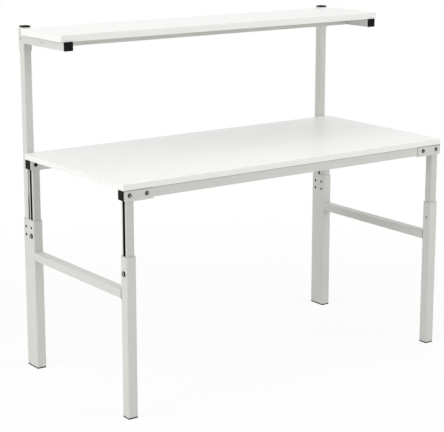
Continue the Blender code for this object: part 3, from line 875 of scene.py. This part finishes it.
@dataclass(frozen=True)
class Fastener:
    """A bolt or screw along +Z with a domed head, whose underside is at z = 0.

    The values given here make a bolt of 8 mm with a hexagon socket.
    """

    length: float
    head_radius: float
    head_height: float
    drive_size: float
    drive_depth: float
    drive: Drive = Drive.HEX_SOCKET
    shank_radius: float = 4.0 * MM
    pitch: float = 1.25 * MM
    thread_depth: float = 0.35 * MM
    tip_share: float = 0.6
    rim_ease: float = 0.2 * MM
    rim_height: float = 0.3 * MM
    crown_share: float = 0.62
    mouth_drop: float = 0.05 * MM
    floor_share: float = 0.92
    core_share: float = 0.34
    wing_power: int = 3
    dome_steps: int = 3
    sides: int = 36

    def solid(self) -> bmesh.types.BMesh:
        """The whole fastener."""
        return lofted(self.shank() + self.head())

    def shank(self) -> Sections:
        """Draws the shank, with its thread as rings.

        Returns:
            Its sections, from the tip up.
        """
        root = self.shank_radius - self.thread_depth
        rims = [(root * self.tip_share, -self.length), (root, self.pitch - self.length)]
        for turn in range(int((self.length - 2 * self.pitch) / self.pitch)):
            base = self.pitch * (turn + 1) - self.length
            rims += [(self.shank_radius, base + self.pitch / 2), (root, base + self.pitch)]
        rims.append((self.shank_radius, -self.pitch / 4))
        return [(ring(radius, self.sides), height) for radius, height in rims]

    def head(self) -> Sections:
        """Draws the domed head and its recess.

        Returns:
            Their sections, over the dome and down to the recess's floor.
        """
        crown = self.drive_size * self.crown_share
        rims = [(self.head_radius - self.rim_ease, 0.0)]
        for step in range(self.dome_steps + 1):
            angle = math.pi / 2 * step / self.dome_steps
            radius = crown + (self.head_radius - crown) * math.cos(angle)
            rims.append((radius, self.rim_height + (self.head_height - self.rim_height) * math.sin(angle)))
        top = rims[-1][1]
        dome = [(ring(radius, self.sides), height) for radius, height in rims]
        mouth = self.recess()
        floor = [point * self.floor_share for point in mouth]
        return dome + [(mouth, top - self.mouth_drop), (floor, top - self.drive_depth)]

    def recess(self) -> Outline:
        """Draws the recess, which is drive_size across the flats or from tip to tip of the cross.

        Returns:
            Its outline, with as many points as the head's circles.
        """
        points = []
        sector = 2 * math.pi / self.drive.value
        for step in range(self.sides):
            angle = 2 * math.pi * step / self.sides
            off_middle = angle % sector - sector / 2
            if self.drive is Drive.HEX_SOCKET:
                radius = self.drive_size / 2 / math.cos(off_middle)
            else:
                wing = abs(off_middle / (sector / 2)) ** self.wing_power
                radius = self.drive_size / 2 * (self.core_share + (1 - self.core_share) * wing)
            points.append(Vector((radius * math.cos(angle), radius * math.sin(angle))))
        return points


def wood_screw(length: float) -> Fastener:
    """Describes a wood screw of 4 mm with a cross recess.

    Args:
        length: The length of its shank.

    Returns:
        The screw.
    """
    return Fastener(
        length, head_radius=4.2 * MM, head_height=2.6 * MM, drive_size=4.4 * MM, drive_depth=1.8 * MM,
        drive=Drive.CROSS, shank_radius=2.0 * MM, pitch=1.8 * MM, thread_depth=0.5 * MM, dome_steps=5,
    )


@dataclass(frozen=True)
class WeldBead:
    """A fillet weld round a rectangular tube, lying on the plane z = 0.

    The sizes of its section are shares of leg, which is how wide and how high the fillet is.
    """

    width: float
    depth: float
    corner: float = 3 * MM
    corner_steps: int = 4
    leg: float = 1.8 * MM
    ripple: float = 2.2 * MM
    swell: float = 0.10
    sunk_in: float = 0.3
    sunk_down: float = 0.2
    belly: tuple[float, float] = (0.62, 0.42)
    shoulder: tuple[float, float] = (0.2, 0.85)

    def route(self) -> list[tuple[Vector, Vector]]:
        """Walks round the tube's foot, with two points for each ripple.

        Returns:
            The points, each with its direction outward.
        """
        corners = []
        for turn, (sx, sy) in enumerate(((1, 1), (-1, 1), (-1, -1), (1, -1))):
            centre = Vector((sx * (self.width / 2 - self.corner), sy * (self.depth / 2 - self.corner)))
            for step in range(self.corner_steps + 1):
                angle = math.pi / 2 * (turn + step / self.corner_steps)
                out = Vector((math.cos(angle), math.sin(angle)))
                corners.append((centre + out * self.corner, out))
        route = []
        for (start, out), (end, out_after) in zip(corners, corners[1:] + corners[:1]):
            parts = max(1, round((end - start).length / (self.ripple / 2)))
            for part in range(parts):
                share = part / parts
                route.append((start.lerp(end, share), out.lerp(out_after, share).normalized()))
        return route

    def section(self, swell: float) -> tuple[tuple[float, float], ...]:
        """Draws the bead's section at one point of its route.

        Args:
            swell: How many times as large as its mean the section is there.

        Returns:
            Its corners, as shares of leg outward and up.
        """
        (belly_out, belly_up), (shoulder_out, shoulder_up) = self.belly, self.shoulder
        return (
            (-self.sunk_in, -self.sunk_down), (swell, -self.sunk_down), (belly_out * swell, belly_up * swell),
            (shoulder_out, shoulder_up * swell), (-self.sunk_in, swell),
        )

    def solid(self) -> bmesh.types.BMesh:
        """Makes the bead, which swells and shrinks from point to point of its route.

        Returns:
            The bead.
        """
        bm = bmesh.new()
        rows = []
        for index, (point, out) in enumerate(self.route()):
            row = []
            for across, up in self.section(1 + self.swell * (-1) ** index):
                spot = point + out * across * self.leg
                row.append(bm.verts.new((spot.x, spot.y, up * self.leg)))
            rows.append(row)
        joined(bm, rows + rows[:1])
        bmesh.ops.recalc_face_normals(bm, faces=bm.faces[:])
        return bm


@dataclass(frozen=True)
class HolePlug:
    """A snap-in plug for a hole of 8.6 mm: its lip is above z = 0, and its barbed stem below.

    Its profile is given as radii and heights in millimetres.
    """

    stem: tuple[tuple[float, float], ...] = (
        (3.2, -2.4), (3.9, -2.2), (4.15, -1.75), (3.8, -1.5), (3.8, -0.1)
    )
    lip: tuple[tuple[float, float], ...] = (
        (5.0, -0.05), (5.1, 0.25), (4.7, 0.6), (3.6, 0.75), (2.9, 0.72), (2.6, 0.55)
    )
    sides: int = 32

    def solid(self) -> bmesh.types.BMesh:
        """The plug, turned from its profile."""
        profile = self.stem + self.lip
        return lofted([(ring(radius * MM, self.sides), height * MM) for radius, height in profile])


# Sub-assemblies


@dataclass
class Worktop:
    """The board, its rails and brackets and the inner legs, which rise together."""

    screw: Fastener = wood_screw(15 * MM)
    screw_shares: tuple[float, ...] = (-0.36, -0.12, 0.12, 0.36)
    rail_wall: float = 1.5 * MM
    bolt_crown: float = 0.45 * MM
    # Colour of the front bolts' paler crowns, partly rubbed wear and partly a painted highlight.
    bolt_crown_highlight_colour: Triple = (0.52, 0.52, 0.52)

    def build(self) -> None:
        """Dresses the nodes and adds the screws that hold the board."""
        low, high, _ = box_of("tabletop")
        dress(BoardLaminate("worktop_laminate", tuple(low), tuple(high)), "tabletop")
        # The rails' coat has painted shade along their tops, under the board.
        rail_coat = RailCoat("bench_powder_coat_on_rails", joint_at=box_of("front_rail")[1].z)
        dress(rail_coat, "front_rail", "rear_rail", "leg_bracket")
        dress(PLASTIC, "rail_cap")
        dress(GLIDE, "leg_guide")
        for row in Row:
            self.dress_bolts(row)
            self.dress_legs(row)
            self.add_screws(row)

    def dress_bolts(self, row: Row) -> None:
        """Gives the bracket bolts of a row their oxide, with paler crowns on the front row, partly rubbed
        wear and partly a painted highlight.

        Args:
            row: The bolts' row.
        """
        bolts = f"bracket_bolt_{row.value}"
        low, _, _ = box_of(nodes_called(bolts)[0])
        crown_at = abs(low.y) - self.bolt_crown if row is Row.FRONT else OxideSteel.crown_at
        name = f"black_oxide_{row.value}_bolts"
        dress(OxideSteel(name, axis=1, crown_at=crown_at, crown=self.bolt_crown_highlight_colour), bolts)

    def dress_legs(self, row: Row) -> None:
        """Gives the inner legs of a row their coat.

        Args:
            row: The legs' row.
        """
        low, high, middle = box_of(f"inner_leg_{row.value}_right")
        half = (high - low) / 2
        # The coat carries painted shade: a darker tone, a dark inside and slot margin, and a dark rear corner
        # on the rear row.
        finish = SlottedLegCoat(
            f"inner_leg_coat_{row.value}", centre_x=middle.x, centre_y=middle.y,
            half_width=half.x, half_depth=half.y, painted_shade_rear=float(row is Row.REAR),
        )
        dress(finish, f"inner_leg_{row.value}")

    def add_screws(self, row: Row) -> None:
        """Adds the wood screws of one rail, which stand on the inside of its upper wall.

        Args:
            row: The rail's row.
        """
        _, rail_high, rail = box_of(f"{row.value}_rail")
        low, high, _ = box_of("tabletop")
        for number, share in enumerate(self.screw_shares, 1):
            place = upended(share * (high - low).x, rail.y, rail_high.z - self.rail_wall)
            name = f"board_screw_{row.value}_{number}"
            add_piece(name, self.screw.solid(), place, ZINC, Body.WORKTOP)


@dataclass
class EndFrames:
    """The outer legs with their feet, bushes, locks and cross tubes."""

    plug: HolePlug = HolePlug()
    upright_bolt: Fastener = Fastener(
        10 * MM, head_radius=5.3 * MM, head_height=1.8 * MM, drive_size=5.0 * MM, drive_depth=1.5 * MM
    )
    cell_half: float = 20 * MM
    hole_pitch: float = 32 * MM
    seat: float = 0.1 * MM
    lock_crown: float = 2.6 * MM

    def build(self) -> None:
        """Dresses the nodes and adds the welds, the uprights' bolts and the plugs."""
        dress(COAT, "outer_leg", "cross_tube")
        dress(PLASTIC, "foot")
        dress(GLIDE, "leg_bush")
        dress(ZINC, "clamp_nut")
        # The lock bolts' crowns are painted paler, partly as rubbed wear and partly as a painted highlight.
        crown_at = face_x("lock_bolt_front_right", Side.RIGHT) - self.lock_crown
        dress(OxideSteel("black_oxide_lock_bolts", axis=0, crown_at=crown_at), "lock_bolt")
        for side in Side:
            self.add_welds(side)
            self.add_upright_bolts(side)
            self.add_plugs(side)

    def hole_heights(self, side: Side) -> tuple[float, float]:
        """The heights of the upper row of holes and of the lower one, which the lock bolts sit in."""
        lower = box_of(f"lock_bolt_rear_{side.word}")[2].z
        return lower + self.hole_pitch, lower

    def add_welds(self, side: Side) -> None:
        """Adds the bead at each end of one cross tube.

        Args:
            side: The tube's side.
        """
        low, high, middle = box_of(f"cross_tube_{side.word}")
        bead = WeldBead(width=(high - low).x, depth=(high - low).z)
        for row, y, turn in ((Row.FRONT, low.y, -math.pi / 2), (Row.REAR, high.y, math.pi / 2)):
            place = Matrix.Translation((middle.x, y, middle.z)) @ Matrix.Rotation(turn, 4, "X")
            name = f"cross_weld_{row.value}_{side.word}"
            add_piece(name, bead.solid(), place, WELD_COAT, Body.FRAME)

    def add_upright_bolts(self, side: Side) -> None:
        """Adds the bolts that hold one upright in its leg.

        Args:
            side: The upright's side.
        """
        x = face_x(f"outer_leg_rear_{side.word}", side) + side.value * self.seat
        _, _, upright = box_of(f"upright_{side.word}")
        for word, z in zip(("upper", "lower"), self.hole_heights(side)):
            place = laid(x, upright.y, z, side)
            name = f"upright_bolt_{word}_{side.word}"
            add_piece(name, self.upright_bolt.solid(), place, BARE_OXIDE, Body.FRAME)

    def add_plugs(self, side: Side) -> None:
        """Adds the plugs of the holes that no bolt uses: five in the rear leg, and one in the front.

        Args:
            side: The legs' side.
        """
        leg = f"outer_leg_rear_{side.word}"
        outer = face_x(leg, side) + side.value * self.seat
        inner = face_x(leg, side.other) - side.value * self.seat
        _, _, rear_leg = box_of(leg)
        _, _, front_leg = box_of(f"outer_leg_front_{side.word}")
        front_cell, rear_cell = rear_leg.y - self.cell_half, rear_leg.y + self.cell_half
        upper, lower = self.hole_heights(side)
        holes = [(y, z) for y in (front_cell, rear_cell) for z in (upper, lower)]
        spots = [
            (f"rear_inside_{number}", laid(inner, y, z, side.other)) for number, (y, z) in enumerate(holes, 1)
        ]
        spots.append(("rear_outside", laid(outer, front_cell, upper, side)))
        for spot, place in spots:
            name = f"hole_plug_{spot}_{side.word}"
            add_piece(name, self.plug.solid(), place, PLASTIC, Body.FRAME)
        # The front leg's inner hole gets a grey plug as painted shade, standing in for the shaded inside of
        # the open hole.
        place = laid(inner, front_leg.y, lower, side.other)
        name = f"hole_plug_front_inside_{side.word}"
        add_piece(name, self.plug.solid(), place, HOLE_SHADE_PLUG, Body.FRAME)


@dataclass
class ShelfUnit:
    """The uprights, the shelf arms, the beam and the shelf board."""

    screw: Fastener = wood_screw(16 * MM)
    screw_shares: tuple[float, ...] = (0.16, 0.82)
    sleeve_bolt: Fastener = Fastener(
        13 * MM, head_radius=4.9 * MM, head_height=1.1 * MM, drive_size=5.0 * MM, drive_depth=2.4 * MM
    )
    beam_bolt: Fastener = Fastener(
        14 * MM, head_radius=4.9 * MM, head_height=0.9 * MM, drive_size=4.0 * MM, drive_depth=1.6 * MM
    )
    arm_wall: float = 2 * MM
    cap_lip: float = 0.5 * MM
    board_gap: float = 0.3 * MM
    seat: float = 0.3 * MM
    slide_down: float = 150 * MM

    def build(self) -> None:
        """Dresses the nodes and adds the bolts and screws."""
        low, high, _ = box_of("shelf_board")
        dress(BoardLaminate("shelf_laminate", tuple(low), tuple(high)), "shelf_board")
        dress(COAT, "shelf_arm", "shelf_beam")
        # The uprights' coat paints shade into the gap behind the inner legs.
        upright_coat = UprightCoat(
            "bench_powder_coat_on_uprights", front_y=box_of("upright_left")[0].y,
            low=box_of("outer_leg_rear_left")[1].z, high=box_of("tabletop")[1].z - self.slide_down,
        )
        dress(upright_coat, "upright_left", "upright_right")
        dress(PLASTIC, "upright_cap", "arm_cap")
        for side in Side:
            self.add_bolts(side)
            self.add_screws(side)

    def add_bolts(self, side: Side) -> None:
        """Adds the bolt through one sleeve and the one that holds the beam's end.

        Args:
            side: The arm's side.
        """
        sleeve_face = face_x(f"shelf_arm_{side.word}", side)
        arm_face = face_x(f"arm_cap_{side.word}", side) - side.value * self.cap_lip
        _, _, cap = box_of(f"arm_cap_{side.word}")
        _, _, upright = box_of(f"upright_{side.word}")
        _, _, beam = box_of("shelf_beam")
        for word, bolt, face, y in (
            ("sleeve", self.sleeve_bolt, sleeve_face, upright.y), ("beam", self.beam_bolt, arm_face, beam.y)
        ):
            place = laid(face + side.value * self.seat, y, cap.z, side)
            add_piece(f"{word}_bolt_{side.word}", bolt.solid(), place, ZINC, Body.FRAME)

    def add_screws(self, side: Side) -> None:
        """Adds the wood screws of one arm, which stand on the inside of its upper wall.

        Args:
            side: The arm's side.
        """
        _, _, cap = box_of(f"arm_cap_{side.word}")
        low, high, _ = box_of("shelf_board")
        for number, share in enumerate(self.screw_shares, 1):
            place = upended(cap.x, low.y + share * (high.y - low.y), low.z - self.board_gap - self.arm_wall)
            name = f"shelf_screw_{number}_{side.word}"
            add_piece(name, self.screw.solid(), place, ZINC, Body.FRAME)


# The studio and the whole scene


@dataclass(frozen=True)
class Lamp:
    """A square soft light that looks at the middle of the bench."""

    name: str
    place: Triple
    size: float
    power: float


@dataclass
class Studio:
    """The floor, the lights, the white world and the camera at the photograph's angle."""

    floor_half: float = 30.0
    floor_cells: int = 8
    ambient: float = 0.16
    ambient_tint: Triple = (0.985, 0.99, 1.0)
    lamps: tuple[Lamp, ...] = (
        Lamp("overhead_light", (0.0, -0.4, 5.5), 9.0, 230.0),
        Lamp("left_light", (-7.5, 0.0, 4.0), 6.0, 400.0),
        Lamp("right_light", (4.0, -6.0, 3.5), 4.0, 235.0),
    )
    aim: Triple = (0.0, 0.0, 0.65)
    camera_place: Triple = (-3.2751, -4.4078, 1.8759)
    camera_yaw: float = math.radians(36.054)
    camera_pitch: float = math.radians(12.529)
    focal_px: float = 1429.8
    image_width_px: float = 444.0
    sensor: float = 36.0
    shift_up: float = -0.05

    def build(self) -> None:
        """Makes everything that isn't the bench."""
        self.add_floor()
        self.add_world()
        self.add_camera()
        for lamp in self.lamps:
            self.add_lamp(lamp)

    def add_floor(self) -> None:
        """Adds the floor."""
        bm = bmesh.new()
        cells = self.floor_cells
        bmesh.ops.create_grid(bm, x_segments=cells, y_segments=cells, size=self.floor_half)
        mesh = bpy.data.meshes.new("studio_floor")
        bm.to_mesh(mesh)
        bm.free()
        mesh.materials.append(StudioPaper("studio_paper").material)
        floor = bpy.data.objects.new("studio_floor", mesh)
        bpy.context.scene.collection.objects.link(floor)

    def add_world(self) -> None:
        """Adds a world that lights softly, and that the camera and reflections see as white."""
        world = bpy.data.worlds.new("studio_world")
        bpy.context.scene.world = world
        world.use_nodes = True
        graph = Graph(world.node_tree, "ShaderNodeOutputWorld")
        soft, white = (
            graph.node("ShaderNodeBackground", None, {"Color": colour, "Strength": strength})
            for colour, strength in ((self.ambient_tint, self.ambient), (WHITE, 1.0))
        )
        graph.show(graph.mixed(graph.seen(), soft, white))

    def add_lamp(self, lamp: Lamp) -> None:
        """Adds one area light, which glossy surfaces don't mirror, so that pale tops keep their tone.

        Args:
            lamp: The light.
        """
        light = bpy.data.lights.new(lamp.name, "AREA")
        light.shape = "SQUARE"
        light.size = lamp.size
        light.energy = lamp.power
        holder = bpy.data.objects.new(lamp.name, light)
        holder.location = lamp.place
        holder.visible_glossy = False
        view = Vector(self.aim) - Vector(lamp.place)
        holder.rotation_euler = view.to_track_quat("-Z", "Y").to_euler()
        bpy.context.scene.collection.objects.link(holder)

    def add_camera(self) -> None:
        """Adds the camera."""
        data = bpy.data.cameras.new("photo_camera")
        data.sensor_width = self.sensor
        data.lens = self.focal_px / self.image_width_px * self.sensor
        data.shift_y = self.shift_up
        camera = bpy.data.objects.new("photo_camera", data)
        camera.location = self.camera_place
        camera.rotation_euler = (math.pi / 2 - self.camera_pitch, 0, -self.camera_yaw)
        bpy.context.scene.collection.objects.link(camera)
        bpy.context.scene.camera = camera


def main() -> None:
    """Builds the studio and the bench's looks in order."""
    logging.basicConfig(level=logging.INFO, format="%(name)s: %(message)s")
    bpy.context.scene.view_settings.view_transform = "Standard"
    Studio().build()
    for assembly in (Worktop(), EndFrames(), ShelfUnit()):
        assembly.build()
        LOG.info("%s is finished", type(assembly).__name__)
    bpy.context.view_layer.update()


if __name__ == "__main__":
    main()
